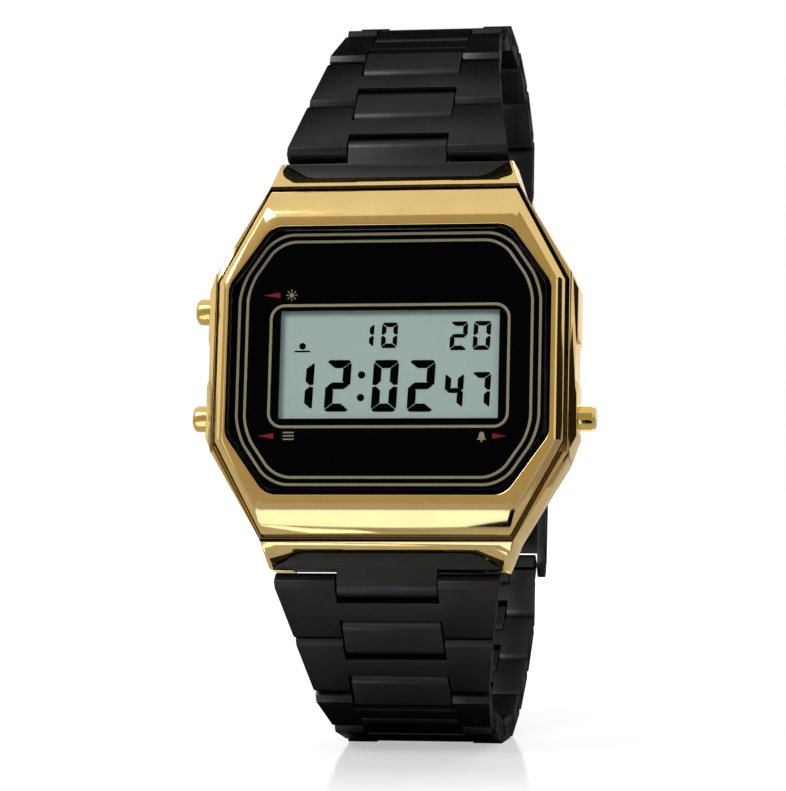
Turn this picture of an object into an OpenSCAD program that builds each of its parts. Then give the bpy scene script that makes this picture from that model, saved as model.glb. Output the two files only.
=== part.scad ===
// Digital watch with a gold case and a black steel bracelet, closed and standing on the bracelet.
// Watch frame: X to the right, Y from the face to the back, Z towards twelve o'clock, crystal at y = 0.

/* [Case] */
// Width across the straight sides, mm
case_w = 33; // [31:0.2:36]
// Height from lug tip to lug tip
case_h = 36.8; // [36:0.2:39]
// Length of each straight side
side_len = 14.6; // [13:0.2:16]
// Width where the case narrows into its lugs
shoulder_w = 22.8; // [22.2:0.2:24]
// Width over the outer corners of the two lugs of an end
lug_span = 21.2; // [20.6:0.2:22]
// Clear width between two lugs
lug_gap = 17.4; // [16.8:0.1:17.8]
// Depth of the notch between the lugs, from the lug tips to its floor
notch_depth = 1.55; // [1.4:0.05:1.8]
// Depth of the case's front rim behind the crystal
rim_y = 1.9; // [1.7:0.1:2]
// Depth where the case back sits
back_y = 7.3; // [7.1:0.1:8.5]
// How far the pads round the buttons stand out
pad_h = 0.2; // [0.1:0.05:0.5]

/* [Bezel and crystal] */
// Half width of the crystal
crystal_hw = 14.4; // [14:0.1:14.8]
// Half height of the crystal
crystal_hh = 12; // [11.6:0.1:12.2]
// Crystal thickness
crystal_t = 1.1; // [0.8:0.1:1.2]
// Bevel round the crystal's front edge
crystal_bevel = 0.35; // [0.1:0.05:0.6]
// Radius of the crystal's eight corners
crystal_r = 1.9; // [0.8:0.1:2.2]
// Depth of the bezel's outer edge behind the crystal's face
bezel_edge_y = 1.35; // [1.2:0.05:1.6]
// Half height of the bezel
bezel_hh = 15.5; // [14.9:0.1:15.5]
// Half width of the bezel
bezel_hw = 15.6; // [15.5:0.1:15.9]
// Width of the bezel's upper and lower edges
bezel_top_w = 22.2; // [21:0.2:22.4]
// Width of the inner bevel above and below the crystal
band_w = 1.55; // [1:0.05:1.7]
// Half width of the display window
window_hw = 9.85; // [8:0.05:10.2]
// Top of the display window above the centre
window_top = 4.55; // [3:0.05:5]
// Bottom of the display window below the centre
window_bottom = 5.2; // [4:0.05:5.8]

/* [Module] */
// Battery diameter
battery_d = 20; // [16:0.5:20.5]
// Battery thickness
battery_t = 1.6; // [1.2:0.1:1.65]
// Circuit board width
board_w = 23.6; // [23:0.2:24]
// Circuit board height
board_h = 20.8; // [20.4:0.2:21.2]
// Buzzer disc diameter
buzzer_d = 15; // [10:0.5:20]

/* [Buttons] */
// Cap diameter
cap_d = 2.35; // [2:0.05:2.8]
// How far a cap stands out of its pad
cap_out = 1.5; // [1:0.05:2]
// Travel when pressed
press = 0.7; // [0.3:0.05:0.75]
// Distance of the two lower buttons below the centre
button_z = 4.7; // [4:0.1:5.2]
// Distance of the upper button above the centre
light_z = 5.1; // [4:0.1:5.2]
// Depth of the buttons behind the crystal's face
button_y = 4.4; // [4.1:0.1:4.6]
// Stem diameter
stem_d = 1.2; // [0.9:0.05:1.3]

/* [Bracelet] */
// Pitch from hinge to hinge
pitch = 6.6; // [6.3:0.1:7.2]
// Link thickness
link_t = 2.2; // [2:0.05:2.4]
// Width of the first link where it meets the case
link_w0 = 20.2; // [19:0.2:20.4]
// Width at the clasp
link_w1 = 14.7; // [14:0.1:14.8]
// Width of a centre link
centre_w = 9; // [8:0.1:9.6]
// Diameter of a link pin
pin_d = 0.9; // [0.6:0.05:1]
// Diameter of a spring bar
bar_d = 1.5; // [1.2:0.05:1.7]

/* [Clasp] */
// Outside width of the clasp cover
cover_w = 15.8; // [15.7:0.1:16.8]
// Sheet thickness of the clasp pieces
sheet_t = 0.7; // [0.5:0.05:0.75]
// Radius to which the clasp is curved
clasp_r = 70; // [50:5:120]
// Distance of the blade's hinges from the ends of the clasp
fold_in = 3.7; // [3.5:0.1:5]

/* [Stand] */
// How far the watch leans back, degrees
lean = 9; // [7:0.5:11]

/* [Hidden] */
$fn = 48;

// Headings of the links from the case to the clasp: degrees from straight up or down, towards the back
upper_headings = [36, 40, 56, 74, 96, 110, 126, 146];
lower_headings = [46, 50, 72, 87, 90 + lean, 117, 129, 138, 148];
upper_count = len(upper_headings);
lower_count = len(lower_headings);

// Clearances
fit = 0.03;
slip = 0.1;
gap = 0.3;
skin = 0.02;

gold = "#d9b25a";
black = "#1c1c1d";
steel = "#b9bcc0";

// Case
lug_hw = lug_span / 2;
hh = case_h / 2;
shoulder_z = hh - 2.6;
flare = (case_w - shoulder_w) / 2 / (shoulder_z - side_len / 2);
wall_y = 2.2;
shelf_y = 3.4;
shelf_z = hh - notch_depth;
shelf_side = 1.1;
notch_z = hh - 2.95;
lug_back_y = back_y - 0.9;
bar_y = 4.7;
bar_z = hh - 1.5;
bar_len = lug_gap + 1.9;
bar_tip_d = bar_d - 0.5;
bar_clear = 0.05;
cavity_hw = 13.9;
cavity_hh = 12.5;
cavity_side = 6.1;
cavity_top = 8.6;
screw_x = 11.9;
screw_z = 10.6;
screw_d = 1;
screw_head_d = 1.7;
screw_len = 2.4;
back_t = 0.9;
back_edge_y = back_y + back_t - 0.3;
back_hw = 14.5;
back_hh = 13.9;
back_side = 9;
back_top = 11.6;

// Crystal stack, front to back
panel_t = 0.2;
panel_y = crystal_t + skin;
ledge_y = wall_y - 0.6;
crystal_cut_x = 0.25 * crystal_hw;
crystal_cut_z = 0.425 * crystal_hh;
bezel_y = 0.3;
band_y = 0.5;
lcd_y = ledge_y + 0.1;
lcd_t = 1.1;
lcd_hw = 10.8;
lcd_hh = 6.7;
lcd_z = (window_top - window_bottom) / 2;
guide_y = lcd_y + lcd_t + 0.05;
guide_t = 0.5;
web_y = guide_y + guide_t + 0.05;
board_y = 4;
board_t = 0.6;
part_h = 1;
corner_x = 0.915 * battery_d / 2;
corner_z = 0.7 * battery_d / 2;
corner_turn = 37.4;
battery_y = board_y + board_t + 0.1;
clip_t = 0.2;
clip_w = 4;
frame_back_y = battery_y + 1.7;
clip_y = frame_back_y + skin;
buzzer_t = 0.3;
frame_hw = 13.5;
frame_hh = 12.1;

// Buttons, along X from the centre
pad_x = case_w / 2 + pad_h;
pad_top = side_len / 2 + 0.8;
cap_x0 = pad_x - 0.95;
cap_x1 = pad_x + cap_out;
seat_x = cap_x0 - press - 0.12;
stem_x0 = 13.1;
clip_x = 13.35;

// Bracelet
e = link_t / 2;
hinge_y0 = 3.9;
hinge_z0 = hh + e + 0.25;
ear_span = pitch - 2 * e - slip;
notch_hw = centre_w / 2 + slip;
knuckle_r = e - 0.05;
link_notch = e + knuckle_r + slip;
near_cut = 0.45;
taper = 1.35;
pin_r = pin_d / 2;

// Clasp: local u runs from the upper hinge to the lower pin, v points outwards
cover_hw = cover_w / 2;
last_hw = cover_hw - sheet_t - gap;
cover_in = e - sheet_t + 0.4;
blade_in = cover_in - gap - sheet_t;
plate_in = blade_in - gap - sheet_t;
fold_pin_r = 0.4;
fold_r = (2 * sheet_t + gap) / 2;
fold_hw = 6;
fold_mid = 3;
leaf_hw = last_hw;

function radial(deg) = [sin(deg), cos(deg)];
function hinge(list, n) = n == 0 ? [hinge_y0, hinge_z0] : hinge(list, n - 1) + pitch * radial(list[n - 1]);
function width_at(n) = link_w1 + (link_w0 - link_w1) * pow(max(0, 1 - n / 3), taper);

upper_end = hinge(upper_headings, upper_count);
lower_end_mirrored = hinge(lower_headings, lower_count);
lower_end = [lower_end_mirrored[0], -lower_end_mirrored[1]];
clasp_vec = lower_end - upper_end;
clasp_len = norm(clasp_vec);
clasp_heading = atan2(clasp_vec[0], clasp_vec[1]);
arc_drop = sqrt(clasp_r * clasp_r - clasp_len * clasp_len / 4);
function rise(u, off) = sqrt(pow(clasp_r + off, 2) - pow(u - clasp_len / 2, 2)) - arc_drop;
top_u = fold_in;
foot_u = clasp_len - fold_in + 0.1;
top_v = rise(top_u, (cover_in + sheet_t + blade_in) / 2);
foot_v = rise(foot_u, (blade_in + sheet_t + plate_in) / 2);

// Stand: turn back by the lean, floor at z = 0, middle of the depth at y = 0
function to_row(p) = [p[0] * cos(lean) + p[1] * sin(lean), -p[0] * sin(lean) + p[1] * cos(lean)];
function mirrored(p) = [p[0], -p[1]];
flat_link = 4;
floor_z = to_row(mirrored(hinge(lower_headings, flat_link)))[1] - e;
front_y = to_row([0, crystal_bevel - crystal_hh])[0];
clasp_centre = upper_end + clasp_len / 2 * radial(clasp_heading)
    - arc_drop * [-cos(clasp_heading), sin(clasp_heading)];
rear_y = to_row(clasp_centre)[0] + clasp_r + cover_in + sheet_t;
mid_y = (front_y + rear_y) / 2;

// Placement
module on_stand() {
    translate([0, -mid_y, -floor_z]) rotate([-lean, 0, 0]) children();
}

// A slab between two depths, drawn in X and Z
module slab(y0, y1) {
    translate([0, y1, 0]) rotate([90, 0, 0]) linear_extrude(y1 - y0) children();
}

// A side profile, drawn in Y and Z, drawn out along X from x0 to x1
module profile_x(x0, x1) {
    translate([x0, 0, 0]) rotate([90, 0, 90]) linear_extrude(x1 - x0) children();
}

module bore_x(x0, x1, r, y, z) {
    translate([x0, y, z]) rotate([0, 90, 0]) cylinder(h = x1 - x0, r = r);
}

module octagon(hw, h, side, top) {
    polygon([[hw, side], [top, h], [-top, h], [-hw, side], [-hw, -side], [-top, -h], [top, -h], [hw, -side]]);
}

// An octagon with its corners rounded: small circles at the corners, joined by straight bands
module round_octagon(hw, h, cut_x, cut_z, r) {
    k = r * 0.42;
    m = r * 0.6;
    corners = [
        [hw - r, h - cut_z - k], [hw - cut_x - m, h - r],
        [-(hw - cut_x - m), h - r], [-(hw - r), h - cut_z - k],
        [-(hw - r), -(h - cut_z - k)], [-(hw - cut_x - m), -(h - r)],
        [hw - cut_x - m, -(h - r)], [hw - r, -(h - cut_z - k)]
    ];
    count = len(corners);
    polygon(corners);
    for (i = [0 : count - 1]) {
        a = corners[i];
        b = corners[(i + 1) % count];
        d = (b - a) / norm(b - a);
        n = r * [d[1], -d[0]];
        translate(a) circle(r = r);
        polygon([a, a + n, b + n, b]);
    }
}

module crystal_outline(grow) {
    round_octagon(crystal_hw + grow, crystal_hh + grow, crystal_cut_x + grow / 3, crystal_cut_z + grow / 3,
        crystal_r + grow);
}

// The hole behind the crystal, through the bezel's ledge
module ledge_opening() {
    octagon(crystal_hw - 1, crystal_hh - 1, crystal_hh / 2, 0.665 * crystal_hw);
}

// Width of the case outline at a height
function case_hw_at(z) = case_w / 2 - flare * max(0, z - side_len / 2);

module case_outline() {
    upper_right = [
        [case_w / 2, button_z - 3.2], [pad_x, button_z - 2.6], [pad_x, button_z + 1.9],
        [case_hw_at(pad_top), pad_top], [shoulder_w / 2, shoulder_z], [lug_hw, hh]
    ];
    last = len(upper_right) - 1;
    right = concat([for (i = [last : -1 : 0]) [upper_right[i][0], -upper_right[i][1]]], upper_right);
    left = [for (i = [2 * last + 1 : -1 : 0]) [-right[i][0], right[i][1]]];
    polygon(concat(right, left));
}

module bezel_outline(grow) {
    octagon(bezel_hw + grow, bezel_hh + grow, side_len / 2 - 0.1 + grow / 2, bezel_top_w / 2 + grow / 2);
}

// Front outline of the space between two lugs, made smaller by the inset
module notch_outline(inset) {
    hw = lug_gap / 2;
    rise_right = [
        [hw - shelf_side, shelf_z], [hw - 0.4, shelf_z + 0.17], [hw + 0.15, shelf_z + 0.5],
        [hw + 0.9, hh - 0.6], [hw + 1.5, hh - 0.3], [hw + 1.75, hh + 1]
    ];
    last = len(rise_right) - 1;
    right = [for (p = rise_right) [p[0] - inset, p[1] + inset]];
    left = [for (i = [last : -1 : 0]) [-right[i][0], right[i][1]]];
    polygon(concat(right, left));
}

// The recess between two lugs, for the end link: shallow and wide in front, straight behind
module lug_notch() {
    slab(rim_y - 1, shelf_y) notch_outline(0);
    slab(shelf_y - skin, back_y + 1) translate([-lug_gap / 2, notch_z]) square([lug_gap, 5]);
}

module both_ends() {
    children();
    mirror([0, 0, 1]) children();
}

module case_body() {
    color(gold) difference() {
        intersection() {
            slab(rim_y, back_y) case_outline();
            profile_x(-case_w, case_w) polygon([
                [rim_y, -bezel_hh - 0.6], [rim_y + 1.1, -hh], [lug_back_y, -hh],
                [back_y, 2 - hh], [back_y, hh - 2], [lug_back_y, hh],
                [rim_y + 1.1, hh], [rim_y, bezel_hh + 0.6]
            ]);
            translate([0, 0, -hh - 1]) linear_extrude(2 * hh + 2) polygon([
                [pad_x - 0.7, rim_y], [pad_x + 0.1, rim_y + 0.6], [pad_x + 0.1, back_y - 1.8],
                [case_w / 2 - 1, back_y], [1 - case_w / 2, back_y], [-pad_x - 0.1, back_y - 1.8],
                [-pad_x - 0.1, rim_y + 0.6], [0.7 - pad_x, rim_y]
            ]);
        }
        slab(rim_y - 1, wall_y) bezel_outline(0.2);
        slab(wall_y - 1, back_y + 1) octagon(cavity_hw, cavity_hh, cavity_side, cavity_top);
        slab(back_y - 0.32, back_y + 1) octagon(cavity_hw + 0.6, cavity_hh + 0.6, cavity_side + 0.3, cavity_top + 0.25);
        both_ends() {
            lug_notch();
            bore_x(-bar_len / 2 - 0.1, bar_len / 2 + 0.1, bar_tip_d / 2 + fit, bar_y, bar_z);
        }
        for (sx = [-1, 1], sz = [-1, 1]) translate([sx * screw_x, 0, sz * screw_z])
            slab(back_y - screw_len + 0.3, back_y + 1) circle(d = screw_d + 2 * fit);
        button_bore(-1, 1);
        button_bore(-1, -1);
        button_bore(1, -1);
    }
}

// Height of a button: level is 1 for the upper one and -1 for the lower ones
function button_at(level) = level > 0 ? light_z : -button_z;

// The stepped hole for one button; side is -1 on the left and 1 on the right
module button_bore(side, level) {
    scale([side, 1, 1]) {
        bore_x(seat_x, pad_x + 1, cap_d / 2 + fit, button_y, button_at(level));
        bore_x(cavity_hw - 1, seat_x + 0.01, stem_d / 2 + fit, button_y, button_at(level));
    }
}

module bezel() {
    color(gold) difference() {
        hull() {
            slab(bezel_y, bezel_y + skin) crystal_outline(0.2);
            slab(band_y, band_y + skin)
                round_octagon(crystal_hw + 0.65, crystal_hh + band_w, crystal_cut_x, crystal_cut_z + 1, 1.2);
            slab(bezel_edge_y, wall_y) bezel_outline(0);
        }
        slab(-1, ledge_y) crystal_outline(0.05);
        slab(-1, wall_y + 1) ledge_opening();
    }
}

module crystal() {
    color("#22252c", 0.35) {
        slab(crystal_bevel, crystal_t) crystal_outline(0);
        slab(0, crystal_bevel) crystal_outline(-crystal_bevel);
    }
}

module crystal_gasket() {
    color("#303030") slab(panel_y + panel_t + skin, ledge_y) difference() {
        crystal_outline(0);
        ledge_opening();
    }
}

module dial_panel() {
    color("#08080a") slab(panel_y, panel_y + panel_t) difference() {
        crystal_outline(-0.05);
        translate([-window_hw, -window_bottom]) square([2 * window_hw, window_top + window_bottom]);
    }
}

module lcd_panel() {
    color("#98aaa4") translate([0, 0, lcd_z]) slab(lcd_y, lcd_y + lcd_t)
        square([2 * lcd_hw, 2 * lcd_hh], center = true);
}

module light_guide() {
    color("#e6e8e2") translate([0, 0, lcd_z]) slab(guide_y, guide_y + guide_t)
        square([2 * lcd_hw - 0.4, 2 * lcd_hh - 2.8], center = true);
}

// Rubber strips that carry the display's signals from the LCD's edges to the board
module contact_strips() {
    color("#5a5d60") for (s = [-1, 1])
        translate([0, 0, lcd_z + s * (lcd_hh - 0.65)]) slab(lcd_y + lcd_t, board_y)
            square([2 * lcd_hw - 2, 1.1], center = true);
}

module module_frame() {
    color("#e9e6da") difference() {
        slab(wall_y + 0.05, frame_back_y) octagon(frame_hw, frame_hh, 5.3, 8.3);
        translate([0, 0, lcd_z]) {
            slab(0, web_y) square([2 * lcd_hw + 0.2, 2 * lcd_hh + 0.2], center = true);
            for (s = [-1, 1]) translate([0, 0, s * (lcd_hh - 0.65)])
                slab(web_y - 1, board_y + 1) square([2 * lcd_hw - 1.8, 1.3], center = true);
        }
        slab(board_y - skin, frame_back_y + 1) board_outline(0.1);
        for (sx = [-1, 1], sz = [-1, 1]) translate([sx * (frame_hw + 1), 0, button_at(sz)])
            slab(button_y - 1.4, frame_back_y + 1) square([4.9, 3], center = true);
    }
}

module board_outline(grow) {
    octagon(board_w / 2 + grow, board_h / 2 + grow, 0.56 * board_h / 2, 0.7 * board_w / 2);
}

// The board, with a chip, a coil, a quartz can and a lamp soldered in its corners beside the battery
module circuit_board() {
    color("#2d5b3a") slab(board_y, board_y + board_t) difference() {
        board_outline(0);
        for (sx = [-1, 1], sz = [-1, 1]) translate([sx * (board_w / 2 - 0.3), button_at(sz)])
            square([1.4, 2], center = true);
    }
    color("#17181a") slab(board_y + board_t, board_y + board_t + part_h) {
        translate([-corner_x, corner_z]) rotate(-corner_turn) square([1.7 * part_h, 2.8 * part_h], center = true);
        translate([corner_x, corner_z]) circle(r = part_h);
        translate([-corner_x, -corner_z]) circle(r = 0.8 * part_h);
        translate([corner_x, -corner_z]) rotate(-corner_turn) square([1.5 * part_h, 2.4 * part_h], center = true);
    }
}

module battery() {
    color(steel) {
        slab(battery_y, battery_y + battery_t - 0.3) circle(d = battery_d);
        slab(battery_y + battery_t - 0.3, battery_y + battery_t) circle(d = battery_d - 1.2);
    }
}

module battery_clip() {
    color("#c9b27a") slab(clip_y, clip_y + clip_t) {
        square([clip_w, 2 * frame_hh - 0.6], center = true);
        circle(r = clip_w + 0.5);
    }
}

module buzzer_disc() {
    color("#c8a24a") slab(back_y - skin - buzzer_t, back_y - skin) circle(d = buzzer_d);
}

module back_gasket() {
    color("#202020") slab(back_y - 0.3, back_y - 0.01) difference() {
        octagon(cavity_hw + 0.57, cavity_hh + 0.57, cavity_side + 0.29, cavity_top + 0.24);
        octagon(cavity_hw + 0.1, cavity_hh + 0.1, cavity_side + 0.05, cavity_top + 0.05);
    }
}

module case_back() {
    color(steel) difference() {
        union() {
            slab(back_y, back_edge_y) octagon(back_hw, back_hh, back_side, back_top);
            hull() {
                slab(back_edge_y - skin, back_edge_y) octagon(back_hw, back_hh, back_side, back_top);
                slab(back_y + back_t - skin, back_y + back_t)
                    octagon(back_hw - 0.4, back_hh - 0.4, back_side - 0.2, back_top - 0.2);
            }
        }
        for (sx = [-1, 1], sz = [-1, 1]) translate([sx * screw_x, 0, sz * screw_z]) {
            slab(back_y - 1, back_y + 2) circle(d = screw_d + 0.3);
            slab(back_y + 0.4, back_y + 2) circle(d = screw_head_d + 0.2);
        }
    }
}

module back_screws() {
    color("#8d9094") for (sx = [-1, 1], sz = [-1, 1]) translate([sx * screw_x, 0, sz * screw_z]) difference() {
        union() {
            slab(back_y + 0.42, back_y + back_t - 0.05) circle(d = screw_head_d);
            slab(back_y + 0.42 - screw_len, back_y + 0.43) circle(d = screw_d);
        }
        slab(back_y + 0.65, back_y + 2) {
            square([1.2, 0.22], center = true);
            square([0.22, 1.2], center = true);
        }
    }
}

module spring_bars() {
    color(steel) both_ends() {
        bore_x(-bar_len / 2, bar_len / 2, bar_tip_d / 2, bar_y, bar_z);
        bore_x(1 - lug_gap / 2, lug_gap / 2 - 1, bar_d / 2, bar_y, bar_z);
    }
}

// A plunger: cap and stem in one, with its clip as a separate solid
module button(side, level) {
    translate([0, button_y, button_at(level)]) scale([side, 1, 1]) {
        color(gold) rotate([0, 90, 0]) rotate_extrude() polygon([
            [0, stem_x0], [stem_d / 2 - 0.1, stem_x0], [stem_d / 2, stem_x0 + 0.1],
            [stem_d / 2, clip_x - 0.02], [stem_d / 2 - 0.25, clip_x - 0.02],
            [stem_d / 2 - 0.25, clip_x + 0.32], [stem_d / 2, clip_x + 0.32],
            [stem_d / 2, cap_x0], [cap_d / 2, cap_x0], [cap_d / 2, cap_x1 - 0.4],
            [cap_d / 2 - 0.12, cap_x1 - 0.15], [cap_d / 2 - 0.4, cap_x1], [0, cap_x1]
        ]);
        color(steel) rotate([0, 90, 0]) translate([0, 0, clip_x]) difference() {
            cylinder(h = 0.3, r = stem_d / 2 + 0.5);
            translate([0, 0, -1]) cylinder(h = 3, r = stem_d / 2 - 0.23);
            translate([-3, 0, -1]) cube([3, 0.6, 3]);
        }
    }
}

module light_button() { button(-1, 1); }
module mode_button() { button(-1, -1); }
module alarm_button() { button(1, -1); }

// The return spring round a stem, between the cap and the seat of its hole
module button_spring(side, level) {
    color(steel) translate([0, button_y, button_at(level)]) scale([side, 1, 1]) rotate([0, 90, 0])
        translate([0, 0, seat_x + 0.02]) difference() {
            cylinder(h = cap_x0 - seat_x - 0.04, r = cap_d / 2 - 0.1);
            translate([0, 0, -1]) cylinder(h = 4, r = stem_d / 2 + 0.1);
        }
}

module light_spring() { button_spring(-1, 1); }
module mode_spring() { button_spring(-1, -1); }
module alarm_spring() { button_spring(1, -1); }

// Places a piece drawn in a link's own frame: X across, Y along the link from its hinge, Z outwards
module on_link(headings, index) {
    at = hinge(headings, index);
    translate([0, at[0], at[1]]) rotate([90 - headings[index], 0, 0]) children();
}

module lower_half() {
    mirror([0, 0, 1]) children();
}

// The end link fills the space between the lugs and ends in a tongue
module end_link() {
    hw = lug_gap / 2 - slip;
    back = lug_back_y - 0.4;
    shelf = shelf_y + slip;
    front = hinge_y0 - knuckle_r;
    bar_back = shelf_y - slip;
    join_z = hh - 0.5;
    color(black) difference() {
        union() {
            intersection() {
                profile_x(-lug_hw, lug_hw) polygon([
                    [front - 0.25, shelf_z], [front, join_z], [front, hh - skin],
                    [bar_back, hh - skin], [bar_back, shelf_z]
                ]);
                slab(0, back_y) notch_outline(slip);
            }
            profile_x(-hw, hw) polygon([
                [bar_back - slip, join_z], [bar_back - slip, hh - skin], [back - 0.3, hh - skin], [back, hh - 1],
                [back, notch_z + slip], [shelf + 0.5, notch_z + slip], [shelf, notch_z + 0.6], [shelf, join_z]
            ]);
            bore_x(-centre_w / 2, centre_w / 2, knuckle_r, hinge_y0, hinge_z0);
            profile_x(-centre_w / 2, centre_w / 2) polygon([
                [front, hinge_z0], [hinge_y0 + knuckle_r, hinge_z0],
                [hinge_y0 + knuckle_r, hh - 0.3], [front, hh - 0.3]
            ]);
        }
        bore_x(-case_w, case_w, bar_d / 2 + bar_clear, bar_y, bar_z);
        bore_x(-case_w, case_w, pin_r + fit, hinge_y0, hinge_z0);
    }
}

module upper_end_link() { end_link(); }
module lower_end_link() { lower_half() end_link(); }

// Outline of a link seen square on, between its rounded ends
module link_plan(w_near, w_far) {
    difference() {
        polygon([[-w_near / 2, -e], [w_near / 2, -e], [w_far / 2, ear_span + e], [-w_far / 2, ear_span + e]]);
        translate([-notch_hw, -e - 1]) square([2 * notch_hw, link_notch + 1]);
        translate([-notch_hw, ear_span + e - link_notch]) square([2 * notch_hw, link_notch + 1]);
    }
}

// An H-shaped link: a knuckle at the near end with its outer corner cut by the given length, and a
// squared far end with softened edges. Its two pins end just inside its sides.
module h_link(w_near, w_far, cut) {
    length = ear_span + 2 * e;
    color(black) difference() {
        intersection() {
            translate([0, 0, -e]) linear_extrude(link_t) link_plan(w_near, w_far);
            profile_x(-w_near, w_near) {
                circle(r = e);
                polygon([
                    [0, -e], [ear_span + e - 0.35, -e], [ear_span + e, -e + 0.35],
                    [ear_span + e, e - 0.5], [ear_span + e - 0.15, e - 0.15], [ear_span + e - 0.5, e],
                    [cut - e, e], [-e, e - cut], [-e, 0]
                ]);
            }
        }
        for (u = [0, ear_span]) bore_x(-w_near, w_near, pin_r + skin, u, 0);
    }
    color(steel) for (u = [0, ear_span]) {
        reach = (w_near + (w_far - w_near) * (u + e) / length) / 2 - slip;
        bore_x(-reach, reach, pin_r, u, 0);
    }
}

// A centre link from the far notch of one link to the hinge of the next
module centre_link() {
    color(black) difference() {
        centre_body();
        centre_bores();
    }
}

module centre_body() {
    profile_x(-centre_w / 2, centre_w / 2) {
        translate([ear_span, 0]) circle(r = knuckle_r);
        translate([pitch, 0]) circle(r = knuckle_r);
        translate([ear_span, -knuckle_r]) square([pitch - ear_span, 2 * knuckle_r]);
    }
}

module centre_bores() {
    for (u = [ear_span, pitch]) bore_x(-case_w, case_w, pin_r + fit, u, 0);
}

// The last centre link of the lower half widens into a knuckle between the clasp cover's ears
module last_centre() {
    color(black) difference() {
        union() {
            centre_body();
            profile_x(-last_hw, last_hw) {
                translate([pitch, 0]) circle(r = knuckle_r);
                translate([ear_span + e + slip, -knuckle_r]) square([pitch - ear_span - e - slip, 2 * knuckle_r]);
            }
        }
        centre_bores();
    }
    color(steel) bore_x(-last_hw - slip, last_hw + slip, pin_r, pitch, 0);
}

module link(headings, index) {
    last = index == len(headings) - 1;
    on_link(headings, index) h_link(width_at(index), last ? 2 * last_hw : width_at(index + 1),
        index > flat_link ? e : near_cut);
}

module upper_centre(i) {
    on_link(upper_headings, i - 1) centre_link();
}

module lower_centre(i) {
    lower_half() on_link(lower_headings, i - 1) centre_link();
}

module upper_link(i) {
    link(upper_headings, i - 1);
    if (i == upper_count) upper_centre(i);
}

module lower_link(i) {
    lower_half() link(lower_headings, i - 1);
    if (i == lower_count) lower_half() on_link(lower_headings, i - 1) last_centre();
}

// Places a piece drawn in the clasp's frame: X across, Y from the upper hinge to the lower pin, Z outwards
module on_clasp() {
    translate([0, upper_end[0], upper_end[1]]) rotate([90 - clasp_heading, 0, 0]) children();
}

// A curved strip of sheet, seen from the side, with its inner face at the given height
module sheet_arc(inner, u0, u1) {
    intersection() {
        translate([clasp_len / 2, -arc_drop]) difference() {
            circle(r = clasp_r + inner + sheet_t, $fn = 180);
            circle(r = clasp_r + inner, $fn = 180);
        }
        translate([u0, -5]) square([u1 - u0, 14]);
    }
}

module clasp_plate() {
    color(steel) on_clasp() difference() {
        union() {
            for (s = [0, 1]) mirror([s, 0, 0]) profile_x(notch_hw, leaf_hw) {
                circle(r = e);
                sheet_arc(plate_in, 0, 3);
            }
            profile_x(-leaf_hw, leaf_hw) sheet_arc(plate_in, 2 * e, foot_u - fold_r - 0.3);
            profile_x(-fold_mid, fold_mid) {
                sheet_arc(plate_in, foot_u - 3, foot_u);
                translate([foot_u, foot_v]) circle(r = fold_r);
            }
        }
        bore_x(-case_w, case_w, pin_r + skin, 0, 0);
        bore_x(-case_w, case_w, fold_pin_r + fit, foot_u, foot_v);
    }
    color(steel) on_clasp() bore_x(-leaf_hw + 0.2, leaf_hw - 0.2, pin_r, 0, 0);
}

module clasp_blade() {
    color(steel) on_clasp() difference() {
        union() {
            profile_x(-fold_hw, fold_hw) sheet_arc(blade_in, top_u + fold_r + 0.3, foot_u - fold_r - 0.3);
            for (s = [0, 1]) mirror([s, 0, 0]) profile_x(fold_mid + slip, fold_hw) {
                sheet_arc(blade_in, foot_u - 3, foot_u);
                translate([foot_u, foot_v]) circle(r = fold_r);
            }
            profile_x(-fold_mid, fold_mid) {
                sheet_arc(blade_in, top_u, top_u + 3);
                translate([top_u, top_v]) circle(r = fold_r);
            }
        }
        bore_x(-case_w, case_w, fold_pin_r + skin, foot_u, foot_v);
        bore_x(-case_w, case_w, fold_pin_r + fit, top_u, top_v);
    }
    color(steel) on_clasp() bore_x(0.2 - fold_hw, fold_hw - 0.2, fold_pin_r, foot_u, foot_v);
}

module clasp_cover() {
    wall_u1 = clasp_len + e + 0.4;
    color(black) on_clasp() difference() {
        union() {
            profile_x(-cover_hw, cover_hw) sheet_arc(cover_in, top_u + fold_r + 0.2, clasp_len - knuckle_r - slip / 2);
            for (s = [0, 1]) mirror([s, 0, 0]) {
                profile_x(fold_mid + slip, fold_hw) {
                    sheet_arc(cover_in, top_u, top_u + 3);
                    translate([top_u, top_v]) circle(r = fold_r);
                }
                profile_x(cover_hw - sheet_t, cover_hw) {
                    intersection() {
                        translate([clasp_len / 2, -arc_drop]) difference() {
                            circle(r = clasp_r + cover_in + sheet_t, $fn = 180);
                            circle(r = clasp_r + plate_in, $fn = 180);
                        }
                        translate([top_u, -5]) square([clasp_len - top_u, 14]);
                    }
                    translate([clasp_len, 0]) circle(r = e + 0.15);
                }
            }
        }
        for (k = [0 : 3]) bore_x(-case_w, case_w, pin_r + 0.05, clasp_len - 2.6 * k, rise(clasp_len - 2.6 * k, 0));
        bore_x(-fold_hw - 1, fold_hw + 1, fold_pin_r + skin, top_u, top_v);
    }
    color(steel) on_clasp() bore_x(0.2 - fold_hw, fold_hw - 0.2, fold_pin_r, top_u, top_v);
}

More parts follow.
